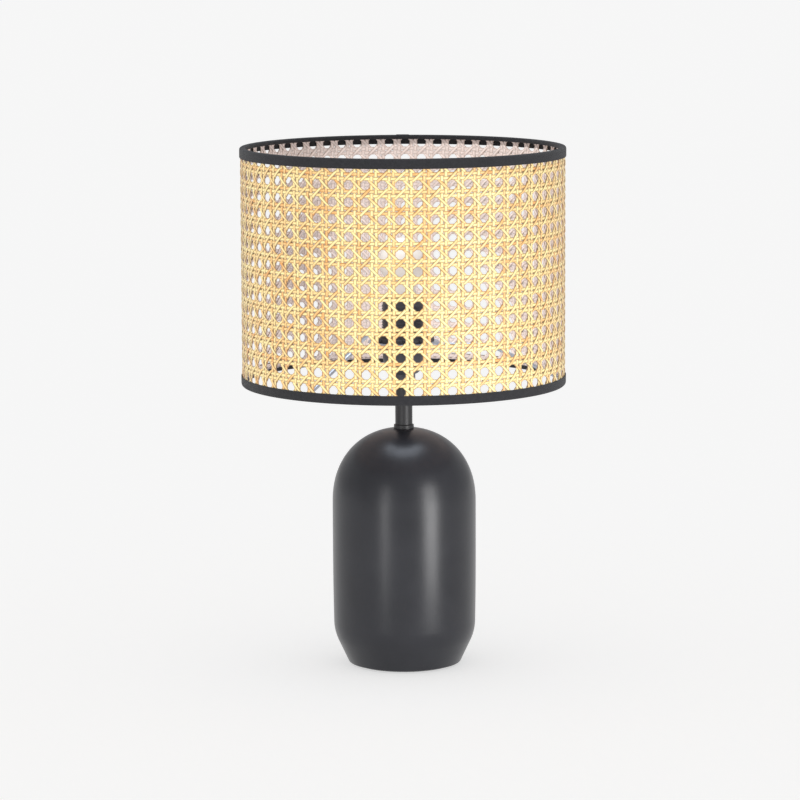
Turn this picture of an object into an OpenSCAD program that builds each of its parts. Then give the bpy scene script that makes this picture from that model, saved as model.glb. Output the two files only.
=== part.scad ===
// Table lamp with a turned wooden base, a short stem, an E27 lampholder and a cane drum shade.
// The origin is the centre of the foot on the table. +Z is up, +Y is the rear, where the cord goes in.

/* [Base] */
// Largest radius of the turned base
base_r = 66.8; // [64:0.2:70]
// Height at which the straight side turns into the dome
dome_z = 152.7; // [148:0.1:156]
// Height of the dome above that
dome_h = 69.5; // [66:0.5:74]
// Fullness of the dome, where 2 is an ellipse
dome_fullness = 2.19; // [2:0.01:2.5]
// How much the side draws in between its middle and the turn to the foot
belly_in = 0.7; // [0:0.1:2]
// Slope of the underside's chamfer, in degrees from upright
foot_slope = 25.2; // [18:0.2:30]
// Radius of the turn between the side and the chamfer
foot_turn_r = 44; // [30:1:50]
// Thickness of the felt pad under the base
pad_t = 1.5; // [1:0.1:2]

/* [Stem] */
// Outside diameter of the stem tube
stem_d = 16; // [14:0.5:18]
// Diameter of the collar that the stem stands on
collar_d = 18.6; // [18:0.1:21]
// Thickness of that collar
collar_t = 3.8; // [3:0.1:5]

/* [Shade] */
// Outside diameter of the cane drum
shade_d = 300; // [290:2:320]
// Height of the shade over both trims
shade_h = 220; // [210:2:240]
// Height of the shade's lower edge above the table
shade_z = 264; // [264:1:268]
// Height of the folded tape on the outside of each rim
trim_out_h = 9; // [7:0.5:12]
// Height of the folded tape on the inside of each rim
trim_in_h = 4; // [3.6:0.1:4.2]
// Number of wire arms in the shade fitter
arm_count = 3; // [3:1:4]

/* [Lampholder] */
// Outside radius of the holder's threaded skirt, over the thread
skirt_r = 20; // [19.8:0.1:20.2]
// Number of ridges on the skirt's thread
skirt_ridges = 13; // [8:1:13]
// Number of grip notches round the shade ring
ring_notches = 24; // [16:2:30]

/* [Bulb] */
// Diameter of the opal globe
globe_d = 45; // [40:1:45]

/* [Hidden] */
$fn = 96;

gap = 0.3;            // clearance between pieces that don't touch
eps = 0.01;           // overrun of a cut

// Base
pad_r = 47;
foot_edge_r = 2;      // rounding of the base's lower edge
belly_top_z = 110;    // where the side starts to draw in
turn_z = 40;          // where the side starts to turn under
seat_r = 11;          // flat on top of the dome, for the collar
recess_r = 27;        // hollow in the underside, for the nut and the cord
recess_top = 26;
rod_hole_r = 5.3;
inlet_z = 15;         // height of the cord's way in
inlet_seat_y = 56.3;  // spot-face that the grommet's flange sits on
inlet_seat_r = 6.8;
grommet_r = 4.5;
grommet_bore_r = 3.3;
grommet_len = 14;
flange_r = 6.3;
flange_t = 1.6;

belly_lean = atan(2 * belly_in / (belly_top_z - turn_z));
turn_drop = foot_turn_r * (sin(foot_slope) - sin(belly_lean));
turn_in = foot_turn_r * (cos(belly_lean) - cos(foot_slope));
chamfer_z = turn_z - turn_drop;
chamfer_r = base_r - belly_in - turn_in;
foot_r = chamfer_r - (chamfer_z - pad_t) * tan(foot_slope);
seat_angle = acos(pow(seat_r / base_r, dome_fullness / 2));
seat_z = dome_z + dome_h * pow(sin(seat_angle), 2 / dome_fullness);

// Stem and rod: a lamp rod with an M10 x 1 thread, hollow for the cord
rod_r = 5;
rod_bore_r = 3.8;
rod_bottom = 17;
washer_r = 20;
washer_t = 2;
lock_washer_t = 1.6;
rod_nut_af = 14;      // across flats
rod_nut_t = 4;
stem_wall = 1.2;
stem_bottom = seat_z + collar_t;

// Lampholder, from its cap to the lip over the screw shell
holder_z = 265;
cap_neck_r = 10.8;
cap_bush_h = 10;
cap_bush_r = 7.4;
cap_wall = 2.2;
rod_top = holder_z + cap_bush_h;
cap_top = 299;
skirt_top = 345;
skirt_root_r = skirt_r - 0.7;
skirt_bore_r = 17.6;
skirt_pitch = 2.5;
seat_flange_r = 23.5;
seat_flange_top = 302;
lip_r = 14.7;
core_bottom = 303;
core_top = 321;
core_r = 17.3;
clamp_h = 8;
terminal_screw_r = 1.25;
strap_t = 0.6;
tongue_z = 10;        // height of the centre strap's tongue above the core's foot

// Screw shell and bulb cap, both with a round E27 thread
edison_pitch = 3.6;
edison_wave = 0.7;    // half the thread's depth
cap_thread_r = 12.4;  // mid radius of the bulb cap's thread
shell_thread_r = cap_thread_r + 0.5;
sheet_t = 0.4;
thread_z = 328;
thread_turns = 4;
thread_top = thread_z + thread_turns * edison_pitch;

// Bulb
globe_r = globe_d / 2;
globe_z = 377.5;
neck_r = 12.3;
neck_bottom = 343;
neck_fillet = 10;
glass_t = 1;
tip_z = 322;
contact_travel = 1.2;
contact_foot = core_bottom + tongue_z + strap_t + contact_travel + 0.2;

// Shade ring and fitter
shade_ring_h = 8;
shade_ring_r = 28.5;
ring_bore_r = skirt_r + 0.08;
fitter_r = 33;
fitter_t = 1.5;
fitter_bore_r = skirt_r + 0.6;
arm_wire_r = 1.8;
arm_sink = 0.3;       // depth of the weld between an arm and the ring
arm_z = seat_flange_top - arm_wire_r + arm_sink;
arm_start_r = 25.6;
arm_bend_r = 80;
first_arm = -126;     // direction of the first arm, in degrees from +X

// Shade
shade_r = shade_d / 2;
shade_top = shade_z + shade_h;
cane_t = 1.2;
tape_t = 0.6;
hoop_wire_r = 1.6;
hoop_r = shade_r - cane_t - hoop_wire_r - 0.1;
hoop_low_z = shade_z + tape_t + hoop_wire_r + 0.1;
hoop_high_z = shade_top - tape_t - hoop_wire_r - 0.1;
tape_in_r = hoop_r - hoop_wire_r - 0.1 - tape_t;
arm_end_z = hoop_low_z + hoop_wire_r + 1.4;
seam_w = 9;
seam_t = 0.6;
seam_gap = 0.6;       // from each end of the strip to the hoop
seam_direction = 180; // where the drum's joint is, in degrees from +X

// Outline helpers ------------------------------------------------------------------------------

// Points on a circle arc, from one angle to another
function arc(cx, cy, r, from, to, steps) =
    [for (i = [0:steps]) let (a = from + (to - from) * i / steps) [cx + r * cos(a), cy + r * sin(a)]];

// Side of a row of ridges: root, flank, flat crest, flank
function ridges(root, crest, pitch, z, count) =
    [for (i = [0:count - 1]) each [
        [root, z + i * pitch], [crest, z + (i + 0.3) * pitch],
        [crest, z + (i + 0.5) * pitch], [root, z + (i + 0.8) * pitch]
    ]];

// Side of a round thread, as a wave about its mid radius
function wave(r, z, turns) =
    [for (i = [0:turns * 8]) [r + edison_wave * cos(45 * i), z + i * edison_pitch / 8]];

function reversed(list) = [for (i = [len(list) - 1:-1:0]) list[i]];

module ring(r_out, r_in, z, h) {
    translate([0, 0, z]) difference() {
        cylinder(r = r_out, h = h);
        translate([0, 0, -eps]) cylinder(r = r_in, h = h + 2 * eps);
    }
}

// Base -----------------------------------------------------------------------------------------

module foot_pad() {
    color([0.10, 0.10, 0.11]) cylinder(r = pad_r, h = pad_t);
}

module base_outline() {
    edge_a = 90 - foot_slope;
    // The lower edge's arc touches both the flat foot and the chamfer
    edge_cx = foot_r - foot_edge_r * tan(edge_a / 2);
    polygon(concat(
        [[0, pad_t]],
        arc(edge_cx, pad_t + foot_edge_r, foot_edge_r, -90, -foot_slope, 6),
        arc(base_r - belly_in - foot_turn_r * cos(belly_lean), turn_z + foot_turn_r * sin(belly_lean),
            foot_turn_r, -foot_slope, -belly_lean, 12),
        [for (i = [1:6]) let (t = 1 - i / 6) [base_r - belly_in * t * t, belly_top_z - (belly_top_z - turn_z) * t]],
        [for (i = [0:32]) let (a = seat_angle * i / 32)
            [base_r * pow(cos(a), 2 / dome_fullness), dome_z + dome_h * pow(sin(a), 2 / dome_fullness)]],
        [[0, seat_z]]
    ));
}

module base_body() {
    color([0.20, 0.21, 0.22]) difference() {
        rotate_extrude() base_outline();
        translate([0, 0, pad_t - eps]) cylinder(r = recess_r, h = recess_top - pad_t + eps);
        cylinder(r = rod_hole_r, h = seat_z + 1);
        translate([0, inlet_seat_y, inlet_z]) rotate([-90, 0, 0]) cylinder(r = inlet_seat_r, h = 20);
        translate([0, recess_r - 2, inlet_z]) rotate([-90, 0, 0]) cylinder(r = grommet_r, h = 40);
    }
}

module rod_washer() {
    color([0.72, 0.72, 0.74]) ring(washer_r, rod_hole_r, recess_top - washer_t, washer_t);
}

module lock_washer() {
    z = recess_top - washer_t - lock_washer_t;
    color([0.62, 0.62, 0.65]) difference() {
        ring(9, rod_hole_r, z, lock_washer_t);
        translate([3, -0.5, z - 1]) rotate([20, 0, 0]) cube([8, 1, 4]);
    }
}

module rod_nut() {
    z = recess_top - washer_t - lock_washer_t - rod_nut_t;
    color([0.74, 0.68, 0.46]) translate([0, 0, z]) difference() {
        cylinder(r = rod_nut_af / sqrt(3), h = rod_nut_t, $fn = 6);
        translate([0, 0, -1]) cylinder(r = rod_r, h = rod_nut_t + 2);
    }
}

module threaded_rod() {
    color([0.70, 0.70, 0.72]) ring(rod_r, rod_bore_r, rod_bottom, rod_top - rod_bottom);
}

module cord_grommet() {
    color([0.06, 0.06, 0.07]) translate([0, inlet_seat_y - grommet_len, inlet_z]) rotate([-90, 0, 0])
        difference() {
            union() {
                cylinder(r = grommet_r, h = grommet_len + flange_t);
                translate([0, 0, grommet_len]) cylinder(r = flange_r, h = flange_t);
            }
            translate([0, 0, -1]) cylinder(r = grommet_bore_r, h = grommet_len + flange_t + 2);
        }
}

// Stem -----------------------------------------------------------------------------------------

module stem_collar() {
    edge = 0.6;
    r = collar_d / 2;
    color([0.13, 0.13, 0.14]) rotate_extrude() polygon([
        [rod_hole_r, seat_z], [r, seat_z], [r, stem_bottom - edge],
        [r - edge, stem_bottom], [rod_hole_r, stem_bottom]
    ]);
}

module stem_tube() {
    color([0.22, 0.22, 0.23]) ring(stem_d / 2, stem_d / 2 - stem_wall, stem_bottom, holder_z - stem_bottom);
}

// Lampholder -----------------------------------------------------------------------------------

module cap_outline(inset) {
    // A short neck, then a dome that opens out to the skirt's width
    dome_r = skirt_root_r;
    dome_low = holder_z + 8;
    rise = cap_top - 8 - dome_low;
    polygon(concat(
        [[0, holder_z], [cap_neck_r - inset, holder_z]],
        [for (i = [0:10]) let (a = 90 * i / 10)
            [cap_neck_r - inset + (dome_r - cap_neck_r) * sin(a), dome_low + rise * (1 - cos(a))]],
        [[dome_r - inset, cap_top], [0, cap_top]]
    ));
}

module holder_cap() {
    color([0.10, 0.10, 0.11]) difference() {
        rotate_extrude() cap_outline(0);
        intersection() {
            rotate_extrude() cap_outline(cap_wall);
            translate([0, 0, holder_z + cap_bush_h + 2]) cylinder(r = 30, h = 40);
        }
        translate([0, 0, cap_top - 6]) cylinder(r = skirt_bore_r, h = 7);
        translate([0, 0, holder_z - eps]) cylinder(r = cap_bush_r, h = cap_bush_h + 4);
        translate([0, 0, holder_z + 5]) rotate([-90, 0, 0]) cylinder(r = 1.5, h = 20);
    }
}

module cap_bush() {
    color([0.76, 0.64, 0.32]) difference() {
        ring(cap_bush_r, rod_r, holder_z, cap_bush_h);
        translate([0, 0, holder_z + 5]) rotate([-90, 0, 0]) cylinder(r = 1.5, h = 20);
    }
}

module cap_lock_screw() {
    color([0.70, 0.70, 0.72]) translate([0, rod_r, holder_z + 5]) rotate([-90, 0, 0]) difference() {
        cylinder(r = 1.5, h = 5.6);
        translate([-2, -0.25, 5]) cube([4, 0.5, 1]);
    }
}

module holder_skirt() {
    flange_low = seat_flange_top - 3;
    thread_low = seat_flange_top + 2;
    color([0.10, 0.10, 0.11]) rotate_extrude() polygon(concat(
        [[skirt_bore_r - 1.6, cap_top - 6], [skirt_bore_r - 0.05, cap_top - 6], [skirt_bore_r - 0.05, flange_low],
         [seat_flange_r - 0.8, flange_low], [seat_flange_r, flange_low + 0.8], [seat_flange_r, seat_flange_top],
         [skirt_root_r, seat_flange_top]],
        ridges(skirt_root_r, skirt_r, skirt_pitch, thread_low, skirt_ridges),
        [[skirt_root_r, skirt_top - 1], [skirt_root_r - 1, skirt_top], [lip_r, skirt_top],
         [lip_r, skirt_top - 2], [skirt_bore_r, skirt_top - 2], [skirt_bore_r, core_bottom],
         [skirt_bore_r - 1.6, core_bottom]]
    ));
}

// The two terminals stand in pockets on opposite sides of the core, which open outwards for their screws
module at_terminals() {
    for (turn = [0, 180]) rotate([0, 0, turn]) translate([9, 0, core_bottom]) children();
}

module holder_core() {
    slot = strap_t + 0.4;
    color([0.90, 0.88, 0.82]) difference() {
        translate([0, 0, core_bottom]) cylinder(r = core_r, h = core_top - core_bottom);
        at_terminals() translate([-3.2, -4.2, -1]) cube([12, 8.4, clamp_h + 1.2]);
        at_terminals() translate([-slot / 2, -2, 0]) cube([slot, 4, 30]);
        translate([-9, -2, core_bottom + tongue_z - 0.2]) cube([9, 4, slot]);
        translate([0, 0, core_bottom - 1]) cylinder(r = 3.4, h = 30);
    }
}

// One strap rises to the screw shell, the other turns in under the centre contact
module contact_straps() {
    color([0.80, 0.66, 0.34]) {
        translate([9 - strap_t / 2, -1.6, core_bottom + clamp_h])
            cube([strap_t, 3.2, core_top - core_bottom - clamp_h]);
        translate([-9 - strap_t / 2, -1.6, core_bottom + clamp_h])
            cube([strap_t, 3.2, tongue_z - clamp_h + strap_t]);
        translate([-9 + strap_t / 2, -1.6, core_bottom + tongue_z]) cube([10, 3.2, strap_t]);
    }
}

module terminal_clamps() {
    color([0.80, 0.66, 0.34]) at_terminals() difference() {
        translate([-3, -4, 0]) cube([6, 8, clamp_h]);
        translate([0, 0, -1]) cylinder(r = 1.3, h = 6);
        translate([0, 0, 3]) rotate([0, 90, 0]) cylinder(r = terminal_screw_r, h = 5);
    }
}

module terminal_screws() {
    color([0.70, 0.70, 0.72]) at_terminals() translate([1.6, 0, 3]) rotate([0, 90, 0]) difference() {
        cylinder(r = terminal_screw_r, h = 3.4);
        translate([-2, -0.25, 2.8]) cube([4, 0.5, 1]);
    }
}

module screw_shell() {
    outer = wave(shell_thread_r + sheet_t, thread_z, thread_turns);
    inner = wave(shell_thread_r, thread_z, thread_turns);
    color([0.82, 0.72, 0.42]) rotate_extrude() polygon(concat(
        [[6, core_top], [shell_thread_r + sheet_t, core_top], [shell_thread_r + sheet_t, thread_z - 1]],
        outer,
        reversed(inner),
        [[shell_thread_r, thread_z - 1], [shell_thread_r, core_top + sheet_t], [6, core_top + sheet_t]]
    ));
}

module centre_contact() {
    color([0.85, 0.74, 0.45]) rotate_extrude() polygon([
        [0, contact_foot], [2.6, contact_foot], [2.6, tip_z - 0.4], [2.2, tip_z], [0, tip_z]
    ]);
}

// Bulb -----------------------------------------------------------------------------------------

module bulb_tip() {
    color([0.78, 0.78, 0.80]) translate([0, 0, tip_z]) cylinder(r = 4.6, h = 1.2);
}

module bulb_insulator() {
    color([0.08, 0.08, 0.09]) translate([0, 0, tip_z + 1.2]) rotate_extrude() polygon([
        [0, 0], [5.6, 0], [9.8, 3.2], [9.8, 3.8], [0, 3.8]
    ]);
}

module bulb_cap() {
    low = tip_z + 5;
    outer = wave(cap_thread_r, thread_z, thread_turns);
    inner = wave(cap_thread_r - sheet_t, thread_z, thread_turns);
    top = 347;
    color([0.80, 0.80, 0.82]) rotate_extrude() polygon(concat(
        [[8, low], [10.2, low], [cap_thread_r, thread_z - 0.3]],
        outer,
        [[13.2, thread_top + 1], [13.2, top], [13.2 - sheet_t, top], [13.2 - sheet_t, thread_top + 1]],
        reversed(inner),
        [[10, low + sheet_t], [8, low + sheet_t]]
    ));
}

module glass_outline(inset) {
    // Globe and neck, with a round hollow between them
    fillet = neck_fillet + inset;
    side = neck_r - inset + fillet;
    drop = sqrt(pow(globe_r - inset + fillet, 2) - side * side);
    intersection() {
        translate([0, neck_bottom - 1]) square([globe_r, 2 * globe_r + 60]);
        union() {
            translate([0, globe_z]) circle(r = globe_r - inset);
            translate([0, neck_bottom - (inset > 0 ? 1 : 0)])
                square([neck_r - inset, globe_z - neck_bottom]);
            difference() {
                polygon([[0, globe_z - drop], [side, globe_z - drop], [0, globe_z]]);
                translate([side, globe_z - drop]) circle(r = fillet);
            }
        }
    }
}

module bulb_globe() {
    color([0.97, 0.97, 0.95]) rotate_extrude() difference() {
        glass_outline(0);
        glass_outline(glass_t);
    }
}

module bulb_stem() {
    color([0.85, 0.90, 0.92]) rotate_extrude() polygon([
        [0, neck_bottom + 1], [neck_r - glass_t - gap, neck_bottom + 1], [neck_r - glass_t - gap, neck_bottom + 2.5],
        [4.5, neck_bottom + 6], [2.2, neck_bottom + 18], [2.2, globe_z - 10], [0, globe_z - 10]
    ]);
}

module led_filaments() {
    color([0.95, 0.78, 0.25]) for (a = [0:90:270]) rotate([0, 0, a]) translate([8, 0, globe_z - 12])
        cylinder(r = 0.9, h = 26);
}

module driver_board() {
    color([0.12, 0.38, 0.22]) {
        translate([-8, -0.6, tip_z + 8]) cube([16, 1.2, 13]);
        translate([2, 0.6, tip_z + 10]) cube([4, 4, 8]);
    }
}

// Shade ring and fitter ------------------------------------------------------------------------

module shade_ring() {
    z = seat_flange_top + fitter_t;
    body_r = 24.5;
    color([0.10, 0.10, 0.11]) difference() {
        rotate_extrude() polygon([
            [ring_bore_r, z], [shade_ring_r, z], [shade_ring_r, z + 3], [shade_ring_r - 0.6, z + 3.6],
            [body_r, z + 3.6], [body_r - 0.8, z + shade_ring_h], [ring_bore_r, z + shade_ring_h]
        ]);
        for (i = [0:ring_notches - 1]) rotate([0, 0, 360 * i / ring_notches])
            translate([shade_ring_r + 0.5, 0, z - 1]) cylinder(r = 1.3, h = 6);
    }
}

module fitter_ring() {
    color([0.62, 0.65, 0.70]) ring(fitter_r, fitter_bore_r, seat_flange_top, fitter_t);
}

module fitter_arm() {
    run = hoop_r - arm_bend_r;
    drop = arm_z - arm_end_z;
    length = sqrt(run * run + drop * drop);
    translate([arm_start_r, 0, arm_z]) rotate([0, 90, 0]) cylinder(r = arm_wire_r, h = arm_bend_r - arm_start_r);
    translate([arm_bend_r, 0, arm_z]) sphere(r = arm_wire_r);
    translate([arm_bend_r, 0, arm_z]) rotate([0, 90 + atan(drop / run), 0]) cylinder(r = arm_wire_r, h = length);
}

module fitter_arms() {
    color([0.62, 0.65, 0.70])
        for (i = [0:arm_count - 1]) rotate([0, 0, first_arm + 360 * i / arm_count]) fitter_arm();
}

// Shade ----------------------------------------------------------------------------------------

module hoop(z) {
    rotate_extrude() translate([hoop_r, z]) circle(r = hoop_wire_r);
}

module bottom_wire_ring() {
    color([0.62, 0.65, 0.70]) hoop(hoop_low_z);
}

module top_wire_ring() {
    color([0.62, 0.65, 0.70]) hoop(hoop_high_z);
}

module cane_webbing() {
    color([0.93, 0.80, 0.50]) ring(shade_r, shade_r - cane_t, shade_z + tape_t, shade_h - 2 * tape_t);
}

module webbing_seam() {
    // The drum's joint, at the left side, is closed by a flat strip of cane on its inside
    half_a = seam_w / 2 / shade_r * 180 / PI;
    low = hoop_low_z + hoop_wire_r + seam_gap;
    high = hoop_high_z - hoop_wire_r - seam_gap;
    r = shade_r - cane_t;
    color([0.86, 0.72, 0.44]) rotate([0, 0, seam_direction - half_a]) rotate_extrude(angle = 2 * half_a)
        translate([r - seam_t, low]) square([seam_t, high - low]);
}

// Tape folded over a rim: a tall leg outside, a bar over the edge and a short leg inside
module trim_outline() {
    r_out = shade_r + tape_t;
    polygon([
        [tape_in_r, 0], [r_out, 0], [r_out, trim_out_h], [shade_r, trim_out_h], [shade_r, tape_t],
        [tape_in_r + tape_t, tape_t], [tape_in_r + tape_t, trim_in_h], [tape_in_r, trim_in_h]
    ]);
}

module bottom_trim() {
    color([0.16, 0.16, 0.17]) translate([0, 0, shade_z]) rotate_extrude() trim_outline();
}

module top_trim() {
    color([0.16, 0.16, 0.17]) translate([0, 0, shade_top]) mirror([0, 0, 1]) rotate_extrude() trim_outline();
}

foot_pad();
base_body();
rod_washer();
lock_washer();
rod_nut();
threaded_rod();
cord_grommet();
stem_collar();
stem_tube();
holder_cap();
cap_bush();
cap_lock_screw();
holder_skirt();
holder_core();
screw_shell();
contact_straps();
terminal_clamps();
terminal_screws();
centre_contact();
bulb_tip();
bulb_insulator();
bulb_cap();
bulb_globe();
bulb_stem();
led_filaments();
driver_board();
shade_ring();
fitter_ring();
fitter_arms();
bottom_wire_ring();
top_wire_ring();
cane_webbing();
webbing_seam();
bottom_trim();
top_trim();
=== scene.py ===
import math
import random

import bmesh
import bpy
from mathutils import Matrix, Vector


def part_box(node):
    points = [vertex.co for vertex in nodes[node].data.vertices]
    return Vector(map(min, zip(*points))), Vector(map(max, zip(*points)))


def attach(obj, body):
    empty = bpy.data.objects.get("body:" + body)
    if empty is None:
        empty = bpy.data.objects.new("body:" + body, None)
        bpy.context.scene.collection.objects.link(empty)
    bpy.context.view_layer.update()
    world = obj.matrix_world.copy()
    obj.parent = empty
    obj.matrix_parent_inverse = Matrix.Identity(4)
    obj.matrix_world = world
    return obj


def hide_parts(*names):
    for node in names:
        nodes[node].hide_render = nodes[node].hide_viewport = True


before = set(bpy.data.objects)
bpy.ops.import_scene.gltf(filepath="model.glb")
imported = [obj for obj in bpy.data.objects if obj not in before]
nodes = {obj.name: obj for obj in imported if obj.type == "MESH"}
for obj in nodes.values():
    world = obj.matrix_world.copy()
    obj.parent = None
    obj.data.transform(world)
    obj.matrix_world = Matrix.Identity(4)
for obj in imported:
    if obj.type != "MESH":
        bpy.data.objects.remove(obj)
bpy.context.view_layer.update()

# Camera --------------------------------------------------------------------------------------
# A long lens a few metres off and a little above the lamp, so that the shade's two rims look
# nearly alike and the inside of the far rim just shows over the near one.
camera_aim = Vector((-0.0035, 0.0, 0.248))
camera_distance = 3.5
camera_pitch = math.radians(8.15)
camera_roll = math.radians(-0.25)
camera_data = bpy.data.cameras.new("camera")
camera_data.lens = 169.4
camera_data.sensor_width = 36.0
camera = bpy.data.objects.new("camera", camera_data)
camera_away = Vector((0, -math.cos(camera_pitch), math.sin(camera_pitch)))
camera.location = camera_aim + camera_distance * camera_away
camera_tilt = Matrix.Rotation(math.pi / 2 - camera_pitch, 3, "X")
camera.rotation_euler = (camera_tilt @ Matrix.Rotation(camera_roll, 3, "Z")).to_euler()
bpy.context.scene.collection.objects.link(camera)
bpy.context.scene.camera = camera
bpy.context.scene.view_settings.view_transform = "Standard"


# Floor ---------------------------------------------------------------------------------------
# A very wide pale sheet that also serves as the background. It is lit evenly from within, as a
# light table is, with a little plain white over that, so that only soft faint shadows fall on it.
class Tone:
    """A value that changes over a surface. Arithmetic on it adds Math nodes."""

    def __init__(self, finish, socket):
        self.finish = finish
        self.socket = socket

    def maths(self, operation, first, second=0.0):
        return self.finish.node("Math", {"operation": operation}, {0: first, 1: second})

    def __add__(self, other):
        return self.maths("ADD", self, other)

    __radd__ = __add__

    def __sub__(self, other):
        return self.maths("SUBTRACT", self, other)

    def __rsub__(self, other):
        return self.maths("SUBTRACT", other, self)

    def __mul__(self, other):
        return self.maths("MULTIPLY", self, other)

    __rmul__ = __mul__

    def __pow__(self, other):
        return self.maths("POWER", self, other)

    def sine(self):
        return self.maths("SINE", self)

    def size(self):
        return self.maths("ABSOLUTE", self)


class Finish:
    """A material: constants on its shader's own sockets, and nodes for what varies."""

    def __init__(self, name, **constants):
        self.material = bpy.data.materials.new(name)
        self.material.use_nodes = True
        self.tree = self.material.node_tree
        self.shader = self.tree.nodes["Principled BSDF"]
        for socket, value in constants.items():
            self.shader.inputs[socket.replace("_", " ")].default_value = value

    def node(self, kind, settings=None, inputs=None, output=0):
        made = self.tree.nodes.new("ShaderNode" + kind)
        for name, value in (settings or {}).items():
            if name == "stops":
                ramp = made.color_ramp.elements
                while len(ramp) < len(value):
                    ramp.new(1.0)
                for stop, (place, colour) in zip(ramp, value):
                    stop.position = place
                    stop.color = (*colour, 1.0)
            else:
                setattr(made, name, value)
        for name, value in (inputs or {}).items():
            if isinstance(value, Tone):
                self.tree.links.new(value.socket, made.inputs[name])
            else:
                made.inputs[name].default_value = value
        return Tone(self, made.outputs[output])

    def feed(self, socket, tone):
        self.tree.links.new(tone.socket, self.shader.inputs[socket])

    def place(self):
        return self.node("TexCoord", output="Object")

    def parts(self, vector):
        return [self.node("SeparateXYZ", inputs={"Vector": vector}, output=axis) for axis in "XYZ"]

    def stretched(self, vector, scale):
        return self.node("Mapping", inputs={"Vector": vector, "Scale": scale})

    def noise(self, vector, scale, detail=3.0, roughness=0.5):
        settings = {"Vector": vector, "Scale": scale, "Detail": detail, "Roughness": roughness}
        return self.node("TexNoise", inputs=settings, output="Fac")

    def ramp(self, value, *stops):
        return self.node("ValToRGB", {"stops": stops}, {"Fac": value}, "Color")

    def blend(self, share, first, second):
        first, second = [c if isinstance(c, Tone) else (*c, 1.0) for c in (first, second)]
        return self.node("Mix", {"data_type": "RGBA"}, {0: share, 6: first, 7: second}, 2)

    def relief(self, height, depth):
        bump = self.node("Bump", inputs={"Height": height, "Distance": depth, "Strength": 1.0})
        self.feed("Normal", bump)


floor_reach = 60.0
floor_drop = 0.0002
floor_paint = Finish("floor_paint", Roughness=0.9, Emission_Color=(1, 1, 1, 1), Emission_Strength=0.565,
                     Base_Color=(0.60, 0.60, 0.60, 1), Specular_IOR_Level=0.0)
floor_mesh = bmesh.new()
bmesh.ops.create_circle(floor_mesh, cap_ends=True, radius=floor_reach, segments=64,
                        matrix=Matrix.Translation((0, 0, -floor_drop)))
floor_data = bpy.data.meshes.new("floor")
floor_mesh.to_mesh(floor_data)
floor_mesh.free()
floor_data.materials.append(floor_paint.material)
floor = bpy.data.objects.new("floor", floor_data)
bpy.context.scene.collection.objects.link(floor)

# Lights --------------------------------------------------------------------------------------
# Even light all round, as in a white room, with a soft key high at the front left and a cool
# one overhead. Upright strips each side draw the long highlights down the base; none of these
# falls on the floor, which stays even.
room_strength = 0.60
room = bpy.data.worlds.new("room")
room.use_nodes = True
room.node_tree.nodes["Background"].inputs["Color"].default_value = (1.0, 1.0, 1.0, 1.0)
room.node_tree.nodes["Background"].inputs["Strength"].default_value = room_strength
bpy.context.scene.world = room
all_but_floor = bpy.data.collections.new("all_but_floor")
all_but_floor.objects.link(floor)
all_but_floor.collection_objects[0].light_linking.link_state = "EXCLUDE"


def studio_light(name, data, place, aim, shines=True):
    """Put a light somewhere, aimed at a point, unseen itself and kept off the floor."""
    light = bpy.data.objects.new(name, data)
    light.location = place
    light.rotation_euler = (Vector(place) - Vector(aim)).to_track_quat("Z", "Y").to_euler()
    light.visible_camera = False
    light.visible_glossy = shines
    light.light_linking.receiver_collection = all_but_floor
    bpy.context.scene.collection.objects.link(light)


sky_distance = 3.0


def sky_light(name, azimuth, elevation, strength, spread, colour, shines=True):
    """A distant light as wide as spread, from round the lamp: 0 is the front, 90 the right."""
    data = bpy.data.lights.new(name, "SUN")
    data.energy = strength
    data.angle = math.radians(spread)
    data.color = colour
    around = math.radians(azimuth)
    up = math.radians(elevation)
    away = Vector((math.cos(up) * math.sin(around), -math.cos(up) * math.cos(around), math.sin(up)))
    studio_light(name, data, sky_distance * away, (0, 0, 0), shines)


def strip_light(name, azimuth, distance, low, high, width, watts):
    """An upright strip between two heights, which faces the lamp's axis."""
    data = bpy.data.lights.new(name, "AREA")
    data.shape = "RECTANGLE"
    data.size = width
    data.size_y = high - low
    data.energy = watts
    around = math.radians(azimuth)
    middle = (low + high) / 2
    place = (distance * math.sin(around), -distance * math.cos(around), middle)
    studio_light(name, data, place, (0, 0, middle))


right_side = 41
left_side = -29
far = 1.0
near = 0.45
sky_light("key", -38, 48, strength=1.7, spread=12, colour=(1.0, 0.99, 0.97), shines=False)
sky_light("overhead", 180, 84, strength=1.7, spread=40, colour=(0.80, 0.88, 1.0))
strip_light("right_strip", right_side, far, low=0.01, high=0.54, width=0.34, watts=4.1)
strip_light("right_strip_low", right_side, near, low=0.004, high=0.13, width=0.14, watts=0.46)
strip_light("left_strip", left_side, far, low=0.01, high=0.50, width=0.22, watts=1.1)
strip_light("left_strip_low", left_side, near, low=0.004, high=0.13, width=0.07, watts=0.11)


# Foot pad ------------------------------------------------------------------------------------
# A disc of black wool felt, cut with a punch and glued under the turned base, over the hollow
# that holds the nut.
MM = 0.001


def turned(points, steps=128, closed=True):
    """Spin an outline of (radius, height) in millimetres round the lamp's axis."""
    mesh = bmesh.new()
    corners = [mesh.verts.new((r * MM, 0, z * MM)) for r, z in points]
    edges = [mesh.edges.new(pair) for pair in zip(corners, corners[1:])]
    if closed:
        edges.append(mesh.edges.new((corners[-1], corners[0])))
    bmesh.ops.spin(mesh, geom=corners + edges, cent=(0, 0, 0), axis=(0, 0, 1), dvec=(0, 0, 0),
                   angle=math.tau, steps=steps, use_merge=True, use_duplicate=False)
    bmesh.ops.remove_doubles(mesh, verts=mesh.verts[:], dist=1e-6)
    bmesh.ops.recalc_face_normals(mesh, faces=mesh.faces[:])
    return mesh


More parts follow.
